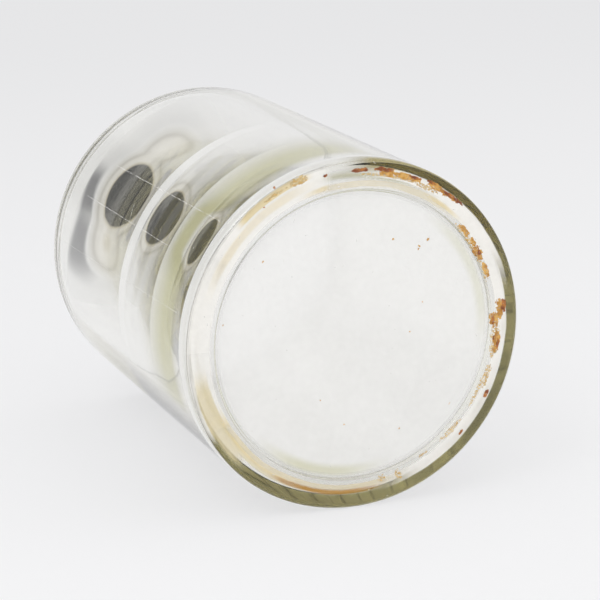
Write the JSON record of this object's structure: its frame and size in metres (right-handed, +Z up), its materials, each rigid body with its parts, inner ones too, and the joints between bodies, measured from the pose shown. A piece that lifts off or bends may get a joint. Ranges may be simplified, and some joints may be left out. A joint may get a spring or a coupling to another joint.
{
  "type": "specimen jar",
  "caption": "Straight cylindrical glass jar with a thick recessed base and a flat ground rim, closed by a loose glass cover that lifts off.",
  "frame": {"origin": "centre of the ring that the jar stands on", "axes": "+Z up along the jar's axis, from its base to its mouth; X and Y are free, because jar and cover are round"},
  "size_m": [0.12, 0.12, 0.1565],
  "materials": {
    "jar_glass": "clear blown glass with a slight olive tint, fire-polished, rust and residue on the standing ring",
    "cover_glass": "clear glass plate with a faint green edge, its seat ground flat"
  },
  "bodies": {
    "jar": {"jar": "jar_glass"},
    "cover": {"cover": "cover_glass"}
  },
  "joints": [
    {"name": "cover_lift", "type": "slide", "parent": "jar", "child": "cover", "axis": [0, 0, 1], "range_m": [0, 0.04]}
  ]
}
